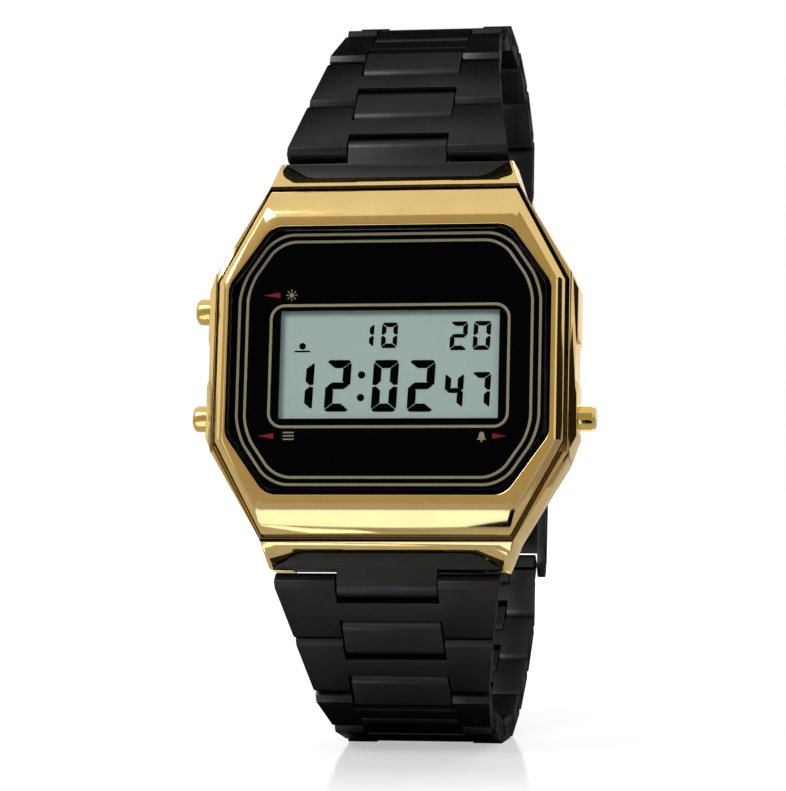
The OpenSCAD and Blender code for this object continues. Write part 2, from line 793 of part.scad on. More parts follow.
on_stand() case_body();
on_stand() bezel();
on_stand() crystal();
on_stand() crystal_gasket();
on_stand() dial_panel();
on_stand() lcd_panel();
on_stand() light_guide();
on_stand() contact_strips();
on_stand() module_frame();
on_stand() circuit_board();
on_stand() battery();
on_stand() battery_clip();
on_stand() buzzer_disc();
on_stand() back_gasket();
on_stand() case_back();
on_stand() back_screws();
on_stand() spring_bars();
on_stand() light_button();
on_stand() mode_button();
on_stand() alarm_button();
on_stand() light_spring();
on_stand() mode_spring();
on_stand() alarm_spring();
on_stand() upper_end_link();
on_stand() lower_end_link();
for (i = [1 : upper_count]) on_stand() upper_link(i);
for (i = [1 : upper_count - 1])
    on_stand() upper_centre(i);
for (i = [1 : lower_count]) on_stand() lower_link(i);
for (i = [1 : lower_count - 1])
    on_stand() lower_centre(i);
on_stand() clasp_plate();
on_stand() clasp_blade();
on_stand() clasp_cover();
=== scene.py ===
"""Looks for a digital wristwatch on a link bracelet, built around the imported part.

New pieces are drawn in millimetres in the watch's own frame: X to the right, Y from the crystal
towards the case back, Z up. The stand's lean puts them in the part's frame, in metres.
"""

import logging
import math
from dataclasses import dataclass, field
from enum import Enum

import bmesh
import bpy
from mathutils import Matrix, Vector

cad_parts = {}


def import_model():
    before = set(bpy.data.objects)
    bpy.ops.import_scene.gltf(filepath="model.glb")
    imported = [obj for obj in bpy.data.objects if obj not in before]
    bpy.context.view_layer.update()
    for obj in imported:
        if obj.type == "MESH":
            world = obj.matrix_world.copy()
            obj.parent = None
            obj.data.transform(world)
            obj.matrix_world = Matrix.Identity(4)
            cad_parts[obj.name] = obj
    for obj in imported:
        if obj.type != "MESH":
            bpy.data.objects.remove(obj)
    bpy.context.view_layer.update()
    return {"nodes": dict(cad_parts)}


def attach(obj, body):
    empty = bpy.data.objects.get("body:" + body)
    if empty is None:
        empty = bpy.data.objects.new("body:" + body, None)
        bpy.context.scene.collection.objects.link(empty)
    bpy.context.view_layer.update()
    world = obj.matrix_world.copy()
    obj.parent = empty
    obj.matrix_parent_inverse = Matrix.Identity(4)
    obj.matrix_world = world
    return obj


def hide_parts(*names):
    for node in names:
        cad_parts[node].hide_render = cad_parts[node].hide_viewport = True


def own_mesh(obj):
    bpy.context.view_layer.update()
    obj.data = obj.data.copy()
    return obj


LOG = logging.getLogger("watch")
MM = 0.001
LEAN = math.radians(9.0)
CRYSTAL_CENTRE = (0.0, -0.0255806, 0.0358376)
WATCH = Matrix.Translation(CRYSTAL_CENTRE) @ Matrix.Rotation(-LEAN, 4, "X")
CASE = "case"

Point = tuple[float, float]
Triple = tuple[float, float, float]
Colour = tuple[float, float, float]

EVEN: Triple = (1.0, 1.0, 1.0)
WHITE: Colour = (1.0, 1.0, 1.0)


class Grain(Enum):
    """The direction in which a metal's fine lines run."""

    NONE = (1.0, 1.0, 1.0)
    ACROSS = (0.06, 1.0, 1.0)
    ALONG = (1.0, 1.0, 0.06)


class Segment(Enum):
    """The seven bars of a display digit."""

    TOP = "a"
    UPPER_RIGHT = "b"
    LOWER_RIGHT = "c"
    BOTTOM = "d"
    LOWER_LEFT = "e"
    UPPER_LEFT = "f"
    MIDDLE = "g"


DIGIT_BARS = {
    "0": "abcdef",
    "1": "bc",
    "2": "abged",
    "4": "fgbc",
    "7": "abc",
}


class NodeGraph:
    """One material and short calls that wire its nodes.

    Attributes:
        noise_span: Values between which most of a noise lies.
    """

    noise_span: Point = (0.3, 0.7)

    def __init__(self, name: str) -> None:
        """Starts an empty material.

        Args:
            name: The material's name.
        """
        self.material = bpy.data.materials.new(name)
        self.material.use_nodes = True
        self.nodes = self.material.node_tree.nodes
        self.links = self.material.node_tree.links
        self.nodes.clear()
        self.output = self.nodes.new("ShaderNodeOutputMaterial")

    def add(self, kind: str, **inputs: object) -> bpy.types.Node:
        """Adds a node and fills its sockets.

        Args:
            kind: The node's type name.
            inputs: Socket names, with underscores for spaces, and a value or a socket for each.

        Returns:
            The new node.
        """
        node = self.nodes.new(kind)
        for name, value in inputs.items():
            socket = node.inputs[name.replace("_", " ")]
            if isinstance(value, bpy.types.NodeSocket):
                self.links.new(value, socket)
            else:
                socket.default_value = value
        return node

    def place(self, scale: Triple = EVEN, attribute: str = "") -> bpy.types.NodeSocket:
        """Gives a place on the piece, in millimetres times a scale.

        Args:
            scale: Scale along each axis.
            attribute: The piece's own attribute to read, or nothing for object coordinates.

        Returns:
            The scaled vector socket.
        """
        mapping = self.add("ShaderNodeMapping")
        if attribute:
            source = self.nodes.new("ShaderNodeAttribute")
            source.attribute_name = attribute
            self.links.new(source.outputs["Vector"], mapping.inputs["Vector"])
            mapping.inputs["Scale"].default_value = scale
        else:
            source = self.nodes.new("ShaderNodeTexCoord")
            self.links.new(source.outputs["Object"], mapping.inputs["Vector"])
            mapping.inputs["Scale"].default_value = [value / MM for value in scale]
        return mapping.outputs["Vector"]

    def noise(
        self, vector: bpy.types.NodeSocket, scale: float, detail: float = 3.0
    ) -> bpy.types.NodeSocket:
        """Gives noise over a place.

        Args:
            vector: The place to read.
            scale: Cells per unit.
            detail: Octaves of finer noise.

        Returns:
            The noise value socket.
        """
        node = self.add("ShaderNodeTexNoise", Vector=vector, Scale=scale, Detail=detail)
        return node.outputs["Fac"]

    def rescale(
        self, value: bpy.types.NodeSocket, source: Point, target: Point
    ) -> bpy.types.NodeSocket:
        """Maps one span of values to another and holds them inside it.

        Args:
            value: The socket to read.
            source: First and last value read.
            target: What they become.

        Returns:
            The mapped value socket.
        """
        node = self.add(
            "ShaderNodeMapRange", Value=value, From_Min=source[0], From_Max=source[1],
            To_Min=target[0], To_Max=target[1],
        )
        return node.outputs["Result"]

    def span(self, noise: bpy.types.NodeSocket, low: float, high: float) -> bpy.types.NodeSocket:
        """Spreads the middle of a noise between two values."""
        return self.rescale(noise, self.noise_span, (low, high))

    def blend(
        self, factor: bpy.types.NodeSocket, first: Colour, second: Colour
    ) -> bpy.types.NodeSocket:
        """Mixes two colours by a factor.

        Args:
            factor: The mix, from 0 to 1.
            first: Colour at 0.
            second: Colour at 1.

        Returns:
            The mixed colour socket.
        """
        node = self.nodes.new("ShaderNodeMix")
        node.data_type = "RGBA"
        self.links.new(factor, node.inputs["Factor"])
        node.inputs["A"].default_value = (*first, 1.0)
        node.inputs["B"].default_value = (*second, 1.0)
        return node.outputs["Result"]

    def bump(self, height: bpy.types.NodeSocket, depth_mm: float) -> bpy.types.NodeSocket:
        """Turns a height into a bumped normal.

        Args:
            height: Heights from 0 to 1.
            depth_mm: Depth of the relief in millimetres.

        Returns:
            The normal socket.
        """
        node = self.add("ShaderNodeBump", Height=height, Strength=1.0, Distance=depth_mm * MM)
        return node.outputs["Normal"]

    def mix(
        self, factor: bpy.types.NodeSocket, first: bpy.types.Node, second: bpy.types.Node
    ) -> bpy.types.Node:
        """Mixes two shaders by a factor.

        Args:
            factor: The mix, from 0 to 1.
            first: Shader at 0.
            second: Shader at 1.

        Returns:
            The mixing node.
        """
        node = self.nodes.new("ShaderNodeMixShader")
        for index, socket in enumerate((factor, first.outputs[0], second.outputs[0])):
            self.links.new(socket, node.inputs[index])
        return node

    def finish(self, shader: bpy.types.Node) -> bpy.types.Material:
        """Wires a shader to the output and gives the material."""
        self.links.new(shader.outputs[0], self.output.inputs["Surface"])
        return self.material


@dataclass(frozen=True)
class MetalFinish:
    """A metal with fine lines, faint colour change and slight relief.

    Attributes:
        name: The material's name.
        colour: Colour of most of the surface.
        second: Colour of its lighter patches.
        low: Lowest roughness.
        high: Highest roughness.
        grain: Direction of its fine lines.
        fineness: Lines per millimetre.
        relief_mm: Depth of the lines.
        attribute: The piece's own attribute that the lines follow.
        edge: Tint of the mirror image at a flat angle.
        line_detail: Octaves of finer lines.
        patches: Patches of the second colour per millimetre.
    """

    name: str
    colour: Colour
    second: Colour
    low: float
    high: float
    grain: Grain = Grain.NONE
    fineness: float = 8.0
    relief_mm: float = 0.0004
    attribute: str = ""
    edge: Colour = WHITE
    line_detail: float = 4.0
    patches: float = 0.35

    def build(self) -> bpy.types.Material:
        """Builds the material.

        Returns:
            The finished material.
        """
        graph = NodeGraph(self.name)
        even = graph.place(attribute=self.attribute)
        grained = graph.place(self.grain.value, self.attribute)
        lines = graph.noise(grained, self.fineness, self.line_detail)
        patches = graph.noise(even, self.patches)
        shader = graph.add(
            "ShaderNodeBsdfPrincipled",
            Base_Color=graph.blend(graph.span(patches, 0.0, 1.0), self.colour, self.second),
            Roughness=graph.span(lines, self.low, self.high),
            Normal=graph.bump(lines, self.relief_mm),
            Metallic=1.0,
            Specular_Tint=(*self.edge, 1.0),
        )
        return graph.finish(shader)


@dataclass(frozen=True)
class MouldedFinish:
    """A plastic, rubber, print or lacquer with fine grain.

    Attributes:
        name: The material's name.
        colour: Colour of most of the surface.
        second: Colour of its lighter grains.
        roughness: Middle roughness.
        grains: Grains per millimetre.
        relief_mm: Depth of the grain.
        specular: Strength of the plain reflection.
        spread: Share by which the roughness goes up and down.
    """

    name: str
    colour: Colour
    second: Colour
    roughness: float
    grains: float = 6.0
    relief_mm: float = 0.001
    specular: float = 0.5
    spread: float = 0.1

    def build(self) -> bpy.types.Material:
        """Builds the material.

        Returns:
            The finished material.
        """
        graph = NodeGraph(self.name)
        grain = graph.noise(graph.place(), self.grains)
        smoothest, roughest = self.roughness * (1 - self.spread), self.roughness * (1 + self.spread)
        shader = graph.add(
            "ShaderNodeBsdfPrincipled",
            Base_Color=graph.blend(graph.span(grain, 0.0, 1.0), self.colour, self.second),
            Roughness=graph.span(grain, smoothest, roughest),
            Normal=graph.bump(grain, self.relief_mm),
            Specular_IOR_Level=self.specular,
        )
        return graph.finish(shader)


@dataclass(frozen=True)
class CrystalFinish:
    """Clear mineral glass that lets light straight through and mirrors a little at its face.

    Attributes:
        name: The material's name.
        tint: Colour of the light that passes.
        index: Refractive index used for the mirror.
        smear: Roughness of the faint smears.
        smears: Smears per millimetre.
    """

    name: str
    tint: Colour
    index: float
    smear: float = 0.02
    smears: float = 0.6

    def build(self) -> bpy.types.Material:
        """Builds the material.

        Returns:
            The finished material.
        """
        graph = NodeGraph(self.name)
        smears = graph.noise(graph.place(), self.smears)
        clear = graph.add("ShaderNodeBsdfTransparent", Color=(*self.tint, 1.0))
        mirror = graph.add("ShaderNodeBsdfGlossy", Roughness=graph.span(smears, 0.0, self.smear))
        edge = graph.add("ShaderNodeFresnel", IOR=self.index)
        return graph.finish(graph.mix(edge.outputs["Fac"], clear, mirror))


@dataclass(frozen=True)
class Finishes:
    """Every finish on the watch."""

    gold: MetalFinish = MetalFinish(
        "polished_gold", (0.72, 0.51, 0.2), (0.76, 0.545, 0.225), 0.06, 0.11,
        relief_mm=0.00003, edge=(1.0, 0.9, 0.7),
    )
    black: MetalFinish = MetalFinish(
        "satin_black_steel", (0.03, 0.0303, 0.031), (0.035, 0.0353, 0.036), 0.34, 0.42,
        grain=Grain.ALONG, fineness=12.0, relief_mm=0.0001, attribute="grain",
        edge=(0.2, 0.2, 0.2),
    )
    # Painted shade: a dark brown metal for the walls of the seam between bezel and case, where
    # shade falls.
    seam: MetalFinish = MetalFinish(
        "seam_painted_shade", (0.07, 0.035, 0.015), (0.09, 0.045, 0.02), 0.4, 0.5
    )
    # Painted shade: a darker, more saturated copy of the gold for the round button caps, which
    # reflect less of the light.
    cap: MetalFinish = MetalFinish(
        "shaded_button_gold", (0.68, 0.47, 0.13), (0.72, 0.5, 0.15), 0.1, 0.16,
        grain=Grain.ACROSS, relief_mm=0.0001,
    )
    steel: MetalFinish = MetalFinish(
        "brushed_steel", (0.5, 0.505, 0.51), (0.58, 0.585, 0.59), 0.2, 0.34,
        grain=Grain.ACROSS, fineness=16.0, relief_mm=0.0005,
    )
    contact: MetalFinish = MetalFinish(
        "contact_sheet", (0.62, 0.48, 0.25), (0.7, 0.55, 0.3), 0.2, 0.35
    )
    crystal: CrystalFinish = CrystalFinish("mineral_crystal", (0.97, 0.98, 0.98), 1.25)
    # Painted reflection: near-black blue for the dim look of the clear crystal's sloping rim.
    crystal_rim_reflection: MouldedFinish = MouldedFinish(
        "crystal_rim_reflection", (0.012, 0.014, 0.02), (0.02, 0.023, 0.032), 0.12, specular=0.6
    )
    panel: MouldedFinish = MouldedFinish(
        "gloss_black_print", (0.002, 0.002, 0.0021), (0.0018, 0.0018, 0.002), 0.3,
        relief_mm=0.0001, specular=0.0,
    )
    lcd: MouldedFinish = MouldedFinish(
        "display_glass", (0.47, 0.57, 0.535), (0.49, 0.595, 0.555), 0.45,
        grains=14.0, specular=0.2,
    )
    segment: MouldedFinish = MouldedFinish(
        "display_segment", (0.001, 0.0015, 0.0015), (0.0015, 0.002, 0.002), 0.5, specular=0.0
    )
    line: MouldedFinish = MouldedFinish(
        "pale_gold_print", (0.32, 0.27, 0.17), (0.4, 0.34, 0.22), 0.45, grains=10.0, specular=0.2
    )
    red: MouldedFinish = MouldedFinish(
        "red_print", (0.22, 0.004, 0.012), (0.27, 0.006, 0.018), 0.45, grains=10.0, specular=0.2
    )
    white_plate: MouldedFinish = MouldedFinish(
        "white_plate", (0.72, 0.73, 0.7), (0.78, 0.79, 0.76), 0.5
    )
    black_rubber: MouldedFinish = MouldedFinish(
        "black_rubber", (0.012, 0.012, 0.012), (0.02, 0.02, 0.02), 0.75
    )
    grey_rubber: MouldedFinish = MouldedFinish(
        "grey_rubber", (0.07, 0.075, 0.08), (0.12, 0.125, 0.13), 0.7, grains=3.0
    )
    ivory: MouldedFinish = MouldedFinish(
        "ivory_plastic", (0.68, 0.64, 0.53), (0.72, 0.68, 0.57), 0.45
    )
    board: MouldedFinish = MouldedFinish(
        "green_board", (0.012, 0.07, 0.03), (0.02, 0.1, 0.045), 0.35, grains=2.0
    )

    def material(self, name: str) -> bpy.types.Material:
        """Gives a finish's material, built on first use.

        Args:
            name: The finish's field name.

        Returns:
            The material.
        """
        finish = getattr(self, name)
        return bpy.data.materials.get(finish.name) or finish.build()


FINISHES = Finishes()


@dataclass
class Dresser:
    """Copies, rounds, finishes and places the pieces of one sub-assembly.

    Attributes:
        bevel_mm: Width of a rounded edge.
        weld_mm: Distance up to which two corners are one.
        sharp_deg: Angle from which an edge is rounded.
        flat_deg: Angle up to which small faces join into one.
        crease_deg: Angle from which an edge is shaded sharp.
    """

    bevel_mm: float = 0.1
    weld_mm: float = 0.002
    sharp_deg: float = 28.0
    flat_deg: float = 0.6
    crease_deg: float = 35.0

    @staticmethod
    def publish(
        mesh: bpy.types.Mesh, name: str, finish: str, slot: str, body: str
    ) -> bpy.types.Object:
        """Makes an object of a mesh, finishes it and puts it on its body.

        Args:
            mesh: The mesh, in the part's frame.
            name: The piece's name.
            finish: The finish's field name.
            slot: The record's material slot; not used.
            body: The CAD body it moves with.

        Returns:
            The new object.
        """
        piece = bpy.data.objects.new(name, mesh)
        bpy.context.scene.collection.objects.link(piece)
        mesh.materials.clear()
        mesh.materials.append(FINISHES.material(finish))
        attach(piece, body)
        LOG.info("%s: %d faces, %s, on %s", name, len(mesh.polygons), finish, body)
        return piece

    def round_edges(self, shape: bmesh.types.BMesh, bevel_mm: float, shortest_mm: float) -> None:
        """Joins flat faces and rounds the sharp edges of a shape in metres.

        Args:
            shape: The shape to change.
            bevel_mm: Width of a rounded edge.
            shortest_mm: Length from which an outward edge is rounded at its full width, or 0 to
                round every edge as far as its neighbours allow.
        """
        bmesh.ops.remove_doubles(shape, verts=shape.verts, dist=self.weld_mm * MM)
        bmesh.ops.dissolve_degenerate(shape, edges=shape.edges, dist=self.weld_mm * MM)
        bmesh.ops.dissolve_limit(
            shape, verts=shape.verts, edges=shape.edges,
            angle_limit=math.radians(self.flat_deg), use_dissolve_boundaries=False,
        )
        limit, shortest = math.radians(self.sharp_deg), shortest_mm * MM
        sharp = [edge for edge in shape.edges
                 if edge.is_manifold and edge.calc_face_angle(0.0) > limit]
        if shortest > 0.0:
            sharp = [edge for edge in sharp if edge.is_convex and edge.calc_length() > shortest]
        if bevel_mm > 0.0 and sharp:
            bmesh.ops.bevel(
                shape, geom=sharp, offset=bevel_mm * MM, offset_type="OFFSET", affect="EDGES",
                segments=3, profile=0.5, material=-1, clamp_overlap=shortest <= 0.0,
            )
        bmesh.ops.recalc_face_normals(shape, faces=shape.faces)

    def copy_of(
        self, node: str, finish: str, slot: str, body: str = CASE, bevel_mm: float | None = None,
        place: Matrix | None = None, shortest_mm: float = 0.0,
    ) -> bpy.types.Object:
        """Replaces a CAD node by a merged copy of it with rounded edges.

        Args:
            node: The CAD node's name.
            finish: The finish's field name.
            slot: The record's material slot.
            body: The CAD body it moves with.
            bevel_mm: Width of a rounded edge, or nothing for the dresser's own.
            place: The piece's own frame, for a grain that follows it.
            shortest_mm: Length from which an outward edge is rounded at its full width.

        Returns:
            The new object.
        """
        shape = bmesh.new()
        shape.from_mesh(bpy.data.objects[node].data)
        self.round_edges(shape, self.bevel_mm if bevel_mm is None else bevel_mm, shortest_mm)
        mesh = bpy.data.meshes.new(f"{node}_finished")
        for face in shape.faces:
            face.smooth = True
        shape.to_mesh(mesh)
        shape.free()
        mesh.set_sharp_from_angle(angle=math.radians(self.crease_deg))
        if place is not None:
            self.lay_grain(mesh, place)
        piece = self.publish(mesh, f"{node}_finished", finish, slot, body)
        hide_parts(node)
        return piece

    @staticmethod
    def lay_grain(mesh: bpy.types.Mesh, place: Matrix) -> None:
        """Stores each point's place in a piece's own frame, in millimetres.

        Args:
            mesh: The mesh to mark.
            place: The piece's own frame in the part's frame, in metres.
        """
        back = place.inverted()
        attribute = mesh.attributes.new("grain", "FLOAT_VECTOR", "POINT")
        for index, vertex in enumerate(mesh.vertices):
            attribute.data[index].vector = (back @ vertex.co) / MM

    def flat_piece(
        self, shape: bmesh.types.BMesh, name: str, finish: str, slot: str,
        front: float, depth: float,
    ) -> bpy.types.Object:
        """Gives flat faces drawn in X and Z a thickness and publishes them on the case.

        Args:
            shape: Flat faces in millimetres, at Y 0 in the watch's frame. It is freed.
            name: The piece's name.
            finish: The finish's field name.
            slot: The record's material slot.
            front: Y of the front face.
            depth: Thickness towards the back.

        Returns:
            The new object.
        """
        grown = bmesh.ops.extrude_face_region(shape, geom=list(shape.faces))
        moved = [item for item in grown["geom"] if isinstance(item, bmesh.types.BMVert)]
        bmesh.ops.translate(shape, vec=(0.0, depth, 0.0), verts=moved)
        bmesh.ops.translate(shape, vec=(0.0, front, 0.0), verts=shape.verts)
        bmesh.ops.recalc_face_normals(shape, faces=shape.faces)
        bmesh.ops.scale(shape, vec=(MM, MM, MM), verts=shape.verts)
        bmesh.ops.transform(shape, matrix=WATCH, verts=shape.verts)
        mesh = bpy.data.meshes.new(name)
        shape.to_mesh(mesh)
        shape.free()
        return self.publish(mesh, name, finish, slot, CASE)


def flat_face(shape: bmesh.types.BMesh, points: list[Point]) -> bmesh.types.BMFace:
    """Adds a flat face in X and Z.

    Args:
        shape: The shape to add to.
        points: The face's corners in order.

    Returns:
        The new face.
    """
    return shape.faces.new([shape.verts.new((x, 0.0, z)) for x, z in points])


def flat_disc(shape: bmesh.types.BMesh, centre: Point, radius: float, sides: int = 32) -> None:
    """Adds a flat disc in X and Z.

    Args:
        shape: The shape to add to.
        centre: The disc's centre.
        radius: The disc's radius.
        sides: Sides of its outline.
    """
    x, z = centre
    matrix = Matrix.Translation((x, 0.0, z)) @ Matrix.Rotation(math.pi / 2, 4, "X")
    bmesh.ops.create_circle(shape, cap_ends=True, radius=radius, segments=sides, matrix=matrix)


@dataclass
class DigitFace:
    """One seven-bar digit of the display, leaning a little to the right.

    Attributes:
        left: X of the digit's left side at its foot.
        right: X of its right side at its top.
        foot: Z of its foot.
        top: Z of its top.
        stroke: Width of a bar.
        value: The digit.
        gap: Space between two bars.
        slant: Lean of the digit, X for each Z.
    """

    left: float
    right: float
    foot: float
    top: float
    stroke: float
    value: str
    gap: float = 0.05
    slant: float = 0.045

    def bar_outline(self, bar: Segment) -> list[Point]:
        """Gives a bar's corners in an upright digit.

        Args:
            bar: Which bar.

        Returns:
            The corners in order.
        """
        width = self.right - self.left - self.slant * (self.top - self.foot)
        height = self.top - self.foot
        half = height / 2
        s, g = self.stroke, self.gap
        if bar is Segment.TOP:
            shoulder, cut = g + 0.28 * s, 0.25 * s
            return [(shoulder, height), (width - shoulder, height), (width - g, height - cut),
                    (width - s - g, height - s), (s + g, height - s), (g, height - cut)]
        if bar is Segment.BOTTOM:
            return [(x, height - z) for x, z in self.bar_outline(Segment.TOP)]
        if bar is Segment.MIDDLE:
            tip, shoulder, thick = g + 0.15 * s, g + 0.75 * s, 0.42 * s
            return [(tip, half), (shoulder, half + thick), (width - shoulder, half + thick),
                    (width - tip, half), (width - shoulder, half - thick), (shoulder, half - thick)]
        if bar is Segment.UPPER_RIGHT:
            return [(width, height - g - 0.45 * s), (width - 0.12 * s, height - g - 0.3 * s),
                    (width - s, height - s - g), (width - s, half + 0.5 * s + g),
                    (width - 0.45 * s, half + g), (width, half + 0.1 * s + g)]
        if bar is Segment.UPPER_LEFT:
            return [(width - x, z) for x, z in self.bar_outline(Segment.UPPER_RIGHT)]
        if bar is Segment.LOWER_RIGHT:
            return [(x, height - z) for x, z in self.bar_outline(Segment.UPPER_RIGHT)]
        return [(width - x, height - z) for x, z in self.bar_outline(Segment.UPPER_RIGHT)]

    def draw(self, shape: bmesh.types.BMesh) -> None:
        """Adds the digit's lit bars to a shape.

        Args:
            shape: The shape to add to.
        """
        for letter in DIGIT_BARS[self.value]:
            outline = self.bar_outline(Segment(letter))
            flat_face(shape, [(self.left + x + self.slant * z, self.foot + z) for x, z in outline])


@dataclass(frozen=True)
class Octagon:
    """An eight-sided line on the panel.

    Attributes:
        half_width: From the centre to its upright sides.
        side: From the centre to the upper end of an upright side.
        top: From the centre to the end of its top side.
        half_height: From the centre to its top side.
        corner: How far a rounded corner reaches along each side.
    """

    half_width: float
    side: float
    top: float
    half_height: float
    corner: float

    def corners(self, centre: Point) -> list[Point]:
        """Gives the sharp corners in order.

        Args:
            centre: The line's centre.

        Returns:
            The eight corners.
        """
        right = [(self.half_width, self.side), (self.top, self.half_height)]
        upper = right + [(-x, z) for x, z in reversed(right)]
        across, up = centre
        return [(x + across, z + up) for x, z in upper + [(-x, -z) for x, z in upper]]


@dataclass
class DisplayStack:
    """Crystal, printed panel and display, front to back.

    Attributes:
        dresser: Makes and places the pieces.
        panel_front: Y of the printed panel's front.
        ink: Thickness of a print.
        lcd_front: Y of the display's front.
        bar_depth: Thickness of the display's dark bars.
        line_width: Width of a printed line.
        octagons: The outer and the inner line.
        octagon_centre: Centre of both lines.
        frame_sides: Half width, top and foot of the line round the display.
        frame_corner: Corner size of that line.
        arrows: Tip, tail and height of each red arrow.
        arrow_half: Half the width of an arrow's tail.
        rim_cosine: Tilt of a crystal face from the front, as a cosine, below which it is sloping
            rim with a painted dark blue reflection.
    """

    dresser: Dresser = field(default_factory=Dresser)
    panel_front: float = 1.12
    ink: float = 0.015
    lcd_front: float = 1.7
    bar_depth: float = 0.03
    line_width: float = 0.24
    octagons: tuple[Octagon, ...] = (
        Octagon(13.665, 6.7, 10.45, 11.395, 1.7),
        Octagon(12.935, 6.55, 10.05, 10.75, 1.5),
    )
    octagon_centre: Point = (-0.065, 0.165)
    frame_sides: tuple[float, float, float] = (10.82, 5.12, -6.06)
    frame_corner: float = 1.35
    arrows: tuple[Triple, ...] = ((-11.44, -9.95, 5.95), (-11.67, -10.2, -6.75), (10.65, 9.4, -6.8))
    arrow_half: float = 0.25
    rim_cosine: float = 0.97

    def dress(self) -> None:
        """Builds every piece of the stack."""
        self.cover_crystal()
        self.print_lines()
        self.print_arrows()
        self.print_signs()
        self.light_digits()

    def cover_crystal(self) -> None:
        """Replaces the crystal by a merged copy whose sloping rim gets a painted dark blue
        reflection.
        """
        piece = self.dresser.copy_of("crystal", "crystal", "crystal", bevel_mm=0.0)
        piece.data.materials.append(FINISHES.material("crystal_rim_reflection"))
        front = (WATCH.to_3x3() @ Vector((0.0, -1.0, 0.0))).normalized()
        # Faces that tilt away from the front form the sloping rim and get the painted reflection.
        for face in piece.data.polygons:
            if abs(face.normal.dot(front)) < self.rim_cosine:
                face.material_index = 1

    def print_flat(self, shape: bmesh.types.BMesh, name: str, finish: str) -> None:
        """Prints flat faces on the panel.

        Args:
            shape: The faces, in X and Z. It is freed.
            name: The piece's name.
            finish: The print's finish.
        """
        self.dresser.flat_piece(shape, name, finish, "dial", self.panel_front - self.ink, self.ink)

    def ring(self, corners: list[Point], corner_mm: float, name: str) -> None:
        """Prints a closed line with rounded corners on the panel.

        Args:
            corners: The line's outer corners in order.
            corner_mm: How far a rounded corner reaches along each side.
            name: The piece's name.
        """
        shape = bmesh.new()
        face = flat_face(shape, corners)
        bmesh.ops.bevel(
            shape, geom=list(face.verts), offset=corner_mm, offset_type="OFFSET",
            affect="VERTICES", segments=8, profile=0.5, material=-1, clamp_overlap=True,
        )
        inner = bmesh.ops.inset_region(
            shape, faces=list(shape.faces), thickness=self.line_width, use_even_offset=True,
            use_boundary=True,
        )
        border = set(inner["faces"])
        middle = [face for face in shape.faces if face not in border]
        bmesh.ops.delete(shape, geom=middle, context="FACES")
        self.print_flat(shape, name, "line")

    def print_lines(self) -> None:
        """Prints the two eight-sided lines and the line round the display."""
        for number, line in enumerate(self.octagons, 1):
            self.ring(line.corners(self.octagon_centre), line.corner, f"octagon_line_{number}")
        half, top, foot = self.frame_sides
        corners = [(half, foot), (half, top), (-half, top), (-half, foot)]
        self.ring(corners, self.frame_corner, "display_frame_line")

    def print_arrows(self) -> None:
        """Prints the red arrows that point at the buttons."""
        shape = bmesh.new()
        for tip, tail, z in self.arrows:
            flat_face(shape, [(tip, z), (tail, z + self.arrow_half), (tail, z - self.arrow_half)])
        self.print_flat(shape, "red_arrows", "red")

    def print_signs(self) -> None:
        """Prints a small plain sign by each arrow: a lamp, a list and a bell."""
        shape = bmesh.new()
        self.draw_lamp(shape, (-8.9, 5.95))
        self.draw_list(shape, (-8.85, -6.75))
        self.draw_bell(shape, (8.45, -6.85))
        self.print_flat(shape, "button_signs", "line")

    @staticmethod
    def draw_lamp(shape: bmesh.types.BMesh, centre: Point) -> None:
        """Adds a disc with eight short rays.

        Args:
            shape: The shape to add to.
            centre: The sign's centre.
        """
        rays, disc, start, end, half = 8, 0.2, 0.3, 0.5, 0.045
        flat_disc(shape, centre, disc)
        for step in range(rays):
            angle = 2 * math.pi * step / rays
            out = Vector((math.cos(angle), math.sin(angle)))
            side = Vector((-math.sin(angle), math.cos(angle)))
            corners = [Vector(centre) + out * reach + side * width for reach, width in
                       ((start, -half), (end, -half), (end, half), (start, half))]
            flat_face(shape, [tuple(corner) for corner in corners])

    @staticmethod
    def draw_list(shape: bmesh.types.BMesh, centre: Point) -> None:
        """Adds three short lines one above the other.

        Args:
            shape: The shape to add to.
            centre: The sign's centre.
        """
        reach, half, step = 0.5, 0.06, 0.3
        x, middle = centre
        for z in (middle - step, middle, middle + step):
            flat_face(shape, [(x - reach, z - half), (x + reach, z - half),
                              (x + reach, z + half), (x - reach, z + half)])

    @staticmethod
    def draw_bell(shape: bmesh.types.BMesh, centre: Point) -> None:
        """Adds a bell with its clapper.

        Args:
            shape: The shape to add to.
            centre: The sign's centre.
        """
        x, z = centre
        right = [(0.42, -0.28), (0.27, -0.1), (0.22, 0.25), (0.1, 0.42)]
        left = [(-across, up) for across, up in reversed(right)]
        outline = left[-1:] + right + left[:-1]
        flat_face(shape, [(x + across, z + up) for across, up in outline])
        flat_disc(shape, (x, z - 0.4), 0.09, 16)

    def light_digits(self) -> None:
        """Builds the dark bars of the display."""
        big, small, tiny, dot = 0.73, 0.53, 0.4, 0.33
        digits = [
            DigitFace(-9.1, -6.72, -4.5, 0.15, big, "1"),
            DigitFace(-5.83, -3.39, -4.5, 0.15, big, "2"),
            DigitFace(-1.6, 0.87, -4.52, 0.13, big, "0"),
            DigitFace(1.62, 4.16, -4.53, 0.11, big, "2"),
            DigitFace(4.92, 6.72, -4.3, -0.99, small, "4"),
            DigitFace(7.32, 9.13, -4.31, -1.0, small, "7"),
            DigitFace(-2.92, -1.42, 1.21, 3.5, tiny, "1"),
            DigitFace(-0.83, 0.71, 1.21, 3.5, tiny, "0"),
            DigitFace(5.33, 6.98, 0.98, 3.55, tiny, "2"),
            DigitFace(7.4, 9.06, 0.98, 3.58, tiny, "0"),
        ]
        shape = bmesh.new()
        for digit in digits:
            digit.draw(shape)
        for centre in ((-2.49, -1.2), (-2.53, -3.24)):
            flat_disc(shape, centre, dot)
        self.mark_half_day(shape)
        front = self.lcd_front - self.bar_depth
        self.dresser.flat_piece(shape, "display_digits", "segment", "lcd", front, self.bar_depth)

